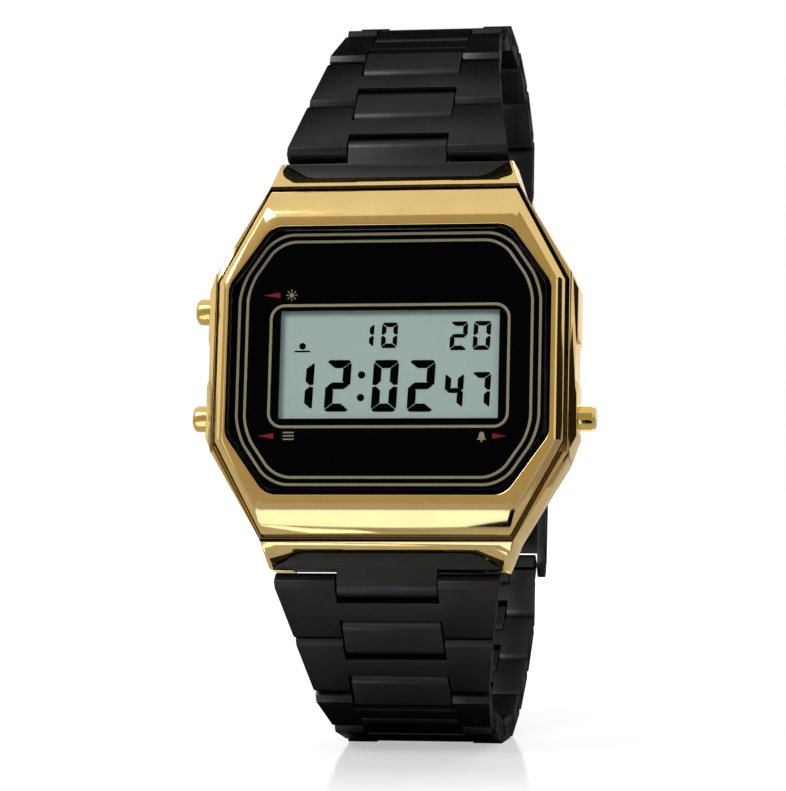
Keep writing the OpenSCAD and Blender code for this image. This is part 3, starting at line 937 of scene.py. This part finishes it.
    @staticmethod
    def mark_half_day(shape: bmesh.types.BMesh) -> None:
        """Adds a small plain sun over a line, which marks the half of the day.

        Args:
            shape: The shape to add to.
        """
        sun, line = (-7.9, 1.42), (0.88, 1.02)
        flat_disc(shape, sun, 0.3, 24)
        left, right = sun[0] - 0.7, sun[0] + 0.7
        flat_face(shape, [(left, line[0]), (right, line[0]), (right, line[1]), (left, line[1])])


@dataclass
class CaseShell:
    """The gold case, its bezel, the buttons and the back.

    Attributes:
        dresser: Makes and places the pieces.
        rolled_mm: Width of the case's rolled edges.
        rolled_from_mm: Length from which an edge of the case is rolled.
        bezel_roll_mm: Width of the bezel's rolled edges.
        seam_half: Half width and half height inside which an upright wall belongs to the seam.
        seam_left: X from which the seam gets painted shade; further left the light reaches into it.
        seam_depths: Y from which and up to which the seam gets painted shade.
        wall_tilt: Share of a wall's normal along Y below which the wall is upright.
        button_names: The three buttons.
        press_mm: A button's travel; not used.
    """

    dresser: Dresser = field(default_factory=Dresser)
    rolled_mm: float = 0.12
    rolled_from_mm: float = 1.5
    bezel_roll_mm: float = 0.3
    seam_half: Point = (15.85, 15.75)
    seam_left: float = -11.6
    seam_depths: Point = (1.45, 2.3)
    wall_tilt: float = 0.35
    button_names: tuple[str, ...] = ("light_button", "mode_button", "alarm_button")
    press_mm: float = 0.7

    def dress(self) -> None:
        """Finishes the shell and what closes it."""
        case = self.dresser.copy_of(
            "case_body", "gold", "gold_case", bevel_mm=self.rolled_mm,
            shortest_mm=self.rolled_from_mm,
        )
        bezel = self.dresser.copy_of("bezel", "gold", "gold_case", bevel_mm=self.bezel_roll_mm)
        # Painted shade on the upright walls of the seam between bezel and case.
        for piece in (case, bezel):
            self.paint_seam_shade(piece)
        for name in self.button_names:
            # The caps get the darker gold copy with painted shade.
            self.dresser.copy_of(name, "cap", "gold_case", body=name, bevel_mm=0.14)
            self.fit_spring(name)
        for name, bevel_mm in (("case_back", 0.1), ("back_screws", 0.05), ("spring_bars", 0.05)):
            self.dresser.copy_of(name, "steel", "steel", bevel_mm=bevel_mm)

    def fit_spring(self, button: str) -> None:
        """Replaces a button's return spring by a steel copy with a mesh of its own.

        Args:
            button: The button's name.
        """
        node = button.replace("button", "spring")
        piece = self.dresser.copy_of(node, "steel", "steel", bevel_mm=0.0)
        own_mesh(piece)

    def paint_seam_shade(self, piece: bpy.types.Object) -> None:
        """Paints shade on the walls of the narrow seam between bezel and case with a dark brown
        metal finish.

        Args:
            piece: The dressed case or bezel.
        """
        piece.data.materials.append(FINISHES.material("seam"))
        back = WATCH.inverted()
        turned = back.to_3x3()
        across, up = self.seam_half
        front, rear = self.seam_depths
        for face in piece.data.polygons:
            place = (back @ face.center) / MM
            upright = abs((turned @ face.normal).y) < self.wall_tilt
            inside = self.seam_left < place.x < across and abs(place.z) < up
            # Upright walls inside the seam get the painted shade.
            if upright and inside and front < place.y < rear:
                face.material_index = 1


@dataclass
class Movement:
    """What the case holds: each node keeps its mesh and gets its finish.

    Attributes:
        finishes: The finish of each node.
    """

    finishes: dict[str, str] = field(default_factory=lambda: {
        "crystal_gasket": "black_rubber", "dial_panel": "panel", "lcd_panel": "lcd",
        "light_guide": "white_plate", "contact_strips": "grey_rubber", "module_frame": "ivory",
        "circuit_board": "board", "battery": "steel", "battery_clip": "contact",
        "buzzer_disc": "contact", "back_gasket": "black_rubber",
    })

    def dress(self, nodes: dict[str, bpy.types.Object]) -> None:
        """Gives each node its finish.

        Args:
            nodes: The CAD nodes by name.
        """
        for name, finish in self.finishes.items():
            mesh = nodes[name].data
            mesh.materials.clear()
            mesh.materials.append(FINISHES.material(finish))
            LOG.info("%s: %s", name, finish)


@dataclass
class Bracelet:
    """The links from the case to the clasp, each with a grain along its own length.

    Attributes:
        dresser: Makes and places the pieces.
        pitch: Length from hinge to hinge.
        first_hinge: Y and Z of the first upper hinge.
        upper: Heading of each upper link in degrees, from up towards the back.
        lower: Heading of each lower link, from down towards the back.
    """

    dresser: Dresser = field(default_factory=lambda: Dresser(bevel_mm=0.2))
    pitch: float = 6.6
    first_hinge: Point = (3.9, 19.75)
    upper: tuple[float, ...] = (36, 40, 56, 74, 96, 110, 126, 146)
    lower: tuple[float, ...] = (46, 50, 72, 87, 99, 117, 129, 138, 148)

    def places(self, headings: tuple[float, ...], side: int) -> list[Matrix]:
        """Gives each link's own frame, with its length along Z.

        Args:
            headings: The links' headings in degrees.
            side: 1 for the upper half, -1 for the lower.

        Returns:
            One frame a link, in the part's frame.
        """
        y, z = self.first_hinge
        frames = []
        for heading in headings:
            turn = math.radians(heading)
            hinge = Matrix.Translation((0.0, y * MM, side * z * MM))
            frames.append(WATCH @ hinge @ Matrix.Rotation(-side * turn, 4, "X"))
            y += self.pitch * math.sin(turn)
            z += self.pitch * math.cos(turn)
        return frames

    def dress(self) -> None:
        """Finishes the end links and both halves of the bracelet."""
        for half, headings, side in (("upper", self.upper, 1), ("lower", self.lower, -1)):
            self.coat(f"{half}_end_link", CASE, WATCH)
            frames = self.places(headings, side)
            for number, place in enumerate(frames, 1):
                body = f"{half}_{number}"
                self.coat(f"{half}_link_{number}", body, place)
                if number < len(frames):
                    self.coat(f"{half}_centre_{number}", body, place)

    def coat(self, node: str, body: str, place: Matrix) -> None:
        """Gives a link the black finish, with its grain along its own frame.

        Args:
            node: The link's CAD node.
            body: The CAD body it moves with.
            place: The link's own frame.
        """
        self.dresser.copy_of(node, "black", "black_steel", body=body, place=place)


@dataclass
class FoldingClasp:
    """The black cover and the two steel leaves under it.

    Attributes:
        leaf_dresser: Makes and places the two leaves.
        cover_dresser: Makes and places the cover.
    """

    leaf_dresser: Dresser = field(default_factory=lambda: Dresser(bevel_mm=0.08))
    cover_dresser: Dresser = field(default_factory=lambda: Dresser(bevel_mm=0.14))

    def dress(self) -> None:
        """Finishes the two leaves and the cover of the clasp."""
        for leaf in ("clasp_plate", "clasp_blade"):
            self.leaf_dresser.copy_of(leaf, "steel", "steel", body=leaf)
        cover = "clasp_cover"
        self.cover_dresser.copy_of(cover, "black", "black_steel", body=cover, place=WATCH)


@dataclass(frozen=True)
class Lamp:
    """A square lamp that faces the object.

    Attributes:
        name: The lamp's name.
        place: Its middle.
        side: Length of its side.
        watts: Its power.
        mirrored: Whether the gold mirrors it.
    """

    name: str
    place: Triple
    side: float
    watts: float
    mirrored: bool = True


@dataclass(frozen=True)
class Card:
    """A flat card that only mirror images show.

    Attributes:
        name: The card's name.
        middle: Its middle.
        toward: The way that it faces.
        half: Half its width and half its height.
        level: Its brightness, where 1 is white.
    """

    name: str
    middle: Triple
    toward: Triple
    half: Point
    level: float


@dataclass
class Studio:
    """Floor, world, lamps, cards and camera, with lengths in metres.

    Attributes:
        floor_half: Half the floor's side.
        floor_greys: The floor's two tones.
        floor_roughness: Roughness of its mirror image.
        fade_mm: Y between which the floor pales towards the backdrop.
        fade_levels: How bright it looks at either end.
        mirror_mm: Y between which its mirror image fades in.
        mirror_level: Share of the mirror image at the object.
        sky: Light that the world gives to the object.
        target: Where the lamps point.
        lamps: The soft lamps.
        warm: Tint of a dull card.
        cool: Tint of a card brighter than white.
        card_spread: Share by which a card's tone goes up and down.
        cards: The cards that part the gold's facets in tone.
        lens: Focal length in millimetres.
        camera_place: Where the camera stands.
        camera_right: The way to the right of the picture.
        camera_up: The way to the top of the picture.
    """

    floor_half: float = 1.2
    floor_greys: Point = (0.36, 0.38)
    floor_roughness: float = 0.1
    fade_mm: Point = (40.0, 200.0)
    fade_levels: Point = (0.66, 1.0)
    mirror_mm: Point = (-62.0, -28.0)
    mirror_level: float = 0.3
    sky: float = 0.62
    target: Triple = (0.0, 0.0, 0.035)
    lamps: tuple[Lamp, ...] = (
        Lamp("key_lamp", (-0.35, -0.45, 0.5), 0.3, 3.2),
        Lamp("fill_lamp", (0.5, -0.3, 0.3), 0.3, 1.4, mirrored=False),
        Lamp("back_lamp", (0.1, 0.5, 0.45), 0.35, 1.6),
    )
    warm: Colour = (1.0, 0.86, 0.6)
    cool: Colour = (0.6, 0.8, 1.0)
    card_spread: float = 0.03
    cards: tuple[Card, ...] = (
        Card("dial_card", (-0.043, -0.258, 0.117), (0.172, 0.93, -0.326), (0.035, 0.035), 0.0),
        Card("front_card", (0.0, -0.35, 0.17), (0.0, 1.0, -0.15), (0.3, 0.17), 0.5),
        Card("left_card", (-0.29, -0.19, 0.06), (0.84, 0.54, 0.0), (0.07, 0.1), 0.5),
        Card("flank_card", (0.264, 0.002, 0.045), (-0.996, -0.087, 0.0), (0.091, 0.12), 0.02),
        Card("glow_strip", (-0.02325, -0.083, 0.0008), (0.0, 0.0, 1.0), (0.04175, 0.035), 2.3),
        Card("glow_end", (0.0332, -0.083, 0.0008), (0.0, 0.0, 1.0), (0.0146, 0.035), 0.0),
    )
    lens: float = 145.64
    camera_place: Triple = (0.0483867, -0.3033456, 0.0294234)
    camera_right: Triple = (0.98551, 0.16961, -0.00247)
    camera_up: Triple = (0.0043, -0.01045, 0.99994)

    def set_up(self) -> None:
        """Builds the whole studio."""
        bpy.context.scene.view_settings.view_transform = "Standard"
        self.lay_floor()
        self.light_world()
        self.hang_lamps()
        self.hold_cards()
        self.stand_camera()

    @staticmethod
    def stand(name: str, data: bpy.types.ID) -> bpy.types.Object:
        """Makes an object of a mesh, lamp or camera and puts it in the scene."""
        thing = bpy.data.objects.new(name, data)
        bpy.context.scene.collection.objects.link(thing)
        return thing

    def lay_floor(self) -> None:
        """Lays a plain white floor that keeps the object's shadow and a faint mirror image."""
        shape = bmesh.new()
        bmesh.ops.create_grid(shape, x_segments=1, y_segments=1, size=self.floor_half)
        mesh = bpy.data.meshes.new("floor")
        shape.to_mesh(mesh)
        shape.free()
        mesh.materials.append(self.floor_paint())
        self.stand("floor", mesh)

    def floor_paint(self) -> bpy.types.Material:
        """Gives the floor's paint, which pales to the backdrop's white and mirrors near the object.

        Returns:
            The floor's material.
        """
        graph = NodeGraph("white_floor")
        mottle = graph.noise(graph.place(), 0.02)
        first, second = ((grey, grey, grey) for grey in self.floor_greys)
        paint = graph.add("ShaderNodeBsdfDiffuse", Color=graph.blend(mottle, first, second))
        polish = graph.add(
            "ShaderNodeBsdfGlossy", Color=(*WHITE, 1.0), Roughness=self.floor_roughness
        )
        depth = graph.add("ShaderNodeSeparateXYZ", Vector=graph.place()).outputs["Y"]
        rays = graph.nodes.new("ShaderNodeLightPath")
        level = graph.nodes.new("ShaderNodeMath")
        level.operation = "MULTIPLY"
        fade = graph.rescale(depth, self.fade_mm, self.fade_levels)
        graph.links.new(rays.outputs["Is Camera Ray"], level.inputs[0])
        graph.links.new(fade, level.inputs[1])
        glow = graph.add("ShaderNodeEmission", Color=(*WHITE, 1.0), Strength=level.outputs[0])
        lit = graph.nodes.new("ShaderNodeAddShader")
        graph.links.new(paint.outputs[0], lit.inputs[0])
        graph.links.new(glow.outputs[0], lit.inputs[1])
        shine = graph.rescale(depth, self.mirror_mm, (0.0, self.mirror_level))
        return graph.finish(graph.mix(shine, lit, polish))

    def light_world(self) -> None:
        """Makes the world white to look at and softer as a light."""
        world = bpy.data.worlds.new("studio_white")
        bpy.context.scene.world = world
        world.use_nodes = True
        nodes, links = world.node_tree.nodes, world.node_tree.links
        nodes.clear()
        rays = nodes.new("ShaderNodeLightPath")
        seen = rays.outputs["Is Camera Ray"]
        for name in ("Is Glossy Ray", "Is Transmission Ray"):
            either = nodes.new("ShaderNodeMath")
            either.operation = "MAXIMUM"
            links.new(seen, either.inputs[0])
            links.new(rays.outputs[name], either.inputs[1])
            seen = either.outputs[0]
        mix = nodes.new("ShaderNodeMixShader")
        links.new(seen, mix.inputs[0])
        for index, strength in ((1, self.sky), (2, 1.0)):
            backdrop = nodes.new("ShaderNodeBackground")
            backdrop.inputs["Color"].default_value = (*WHITE, 1.0)
            backdrop.inputs["Strength"].default_value = strength
            links.new(backdrop.outputs[0], mix.inputs[index])
        output = nodes.new("ShaderNodeOutputWorld")
        links.new(mix.outputs[0], output.inputs["Surface"])

    def hang_lamps(self) -> None:
        """Hangs the soft lamps round the object."""
        for lamp in self.lamps:
            light = bpy.data.lights.new(lamp.name, "AREA")
            light.shape, light.size, light.energy = "SQUARE", lamp.side, lamp.watts
            hung = self.stand(lamp.name, light)
            hung.location = lamp.place
            aim = Vector(self.target) - Vector(lamp.place)
            hung.rotation_euler = aim.to_track_quat("-Z", "Y").to_euler()
            hung.visible_glossy = lamp.mirrored
            LOG.info("%s: %.1f W", lamp.name, lamp.watts)

    def hold_cards(self) -> None:
        """Holds up the cards, which nothing but mirror images shows."""
        for card in self.cards:
            shape = bmesh.new()
            turned = Vector(card.toward).normalized().to_track_quat("Z", "Y").to_matrix().to_4x4()
            place = Matrix.Translation(card.middle) @ turned
            bmesh.ops.create_grid(shape, x_segments=1, y_segments=1, size=1.0)
            bmesh.ops.scale(shape, vec=(*card.half, 1.0), verts=shape.verts)
            bmesh.ops.transform(shape, matrix=place, verts=shape.verts)
            mesh = bpy.data.meshes.new(card.name)
            shape.to_mesh(mesh)
            shape.free()
            mesh.materials.append(self.card_paper(card))
            held = self.stand(card.name, mesh)
            held.visible_camera = False
            held.visible_diffuse = False
            held.visible_shadow = False
            held.visible_transmission = False

    def card_paper(self, card: Card) -> bpy.types.Material:
        """Gives a card an even tone of its own.

        Args:
            card: The card.

        Returns:
            The card's material.
        """
        graph = NodeGraph(card.name)
        fibre = graph.noise(graph.place(), 0.05)
        tint = self.cool if card.level > 1.0 else self.warm
        dullest, brightest = (card.level * (1 + turn * self.card_spread) for turn in (-1, 1))
        tone = graph.add(
            "ShaderNodeEmission", Color=(*tint, 1.0), Strength=graph.span(fibre, dullest, brightest)
        )
        return graph.finish(tone)

    def stand_camera(self) -> None:
        """Puts the camera where the photograph was taken from."""
        data = bpy.data.cameras.new("camera")
        data.lens, data.sensor_width = self.lens, 36.0
        data.clip_start, data.clip_end = 0.01, 10.0
        camera = self.stand("camera", data)
        right, up = Vector(self.camera_right), Vector(self.camera_up)
        turned = Matrix((right, up, right.cross(up))).transposed().to_4x4()
        camera.matrix_world = Matrix.Translation(self.camera_place) @ turned
        bpy.context.scene.camera = camera


def main() -> None:
    """Loads the frame and dresses each sub-assembly in order."""
    logging.basicConfig(level=logging.INFO, format="%(name)s %(message)s")
    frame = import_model()
    Movement().dress(frame["nodes"])
    CaseShell().dress()
    DisplayStack().dress()
    Bracelet().dress()
    FoldingClasp().dress()
    Studio().set_up()


if __name__ == "__main__":
    main()
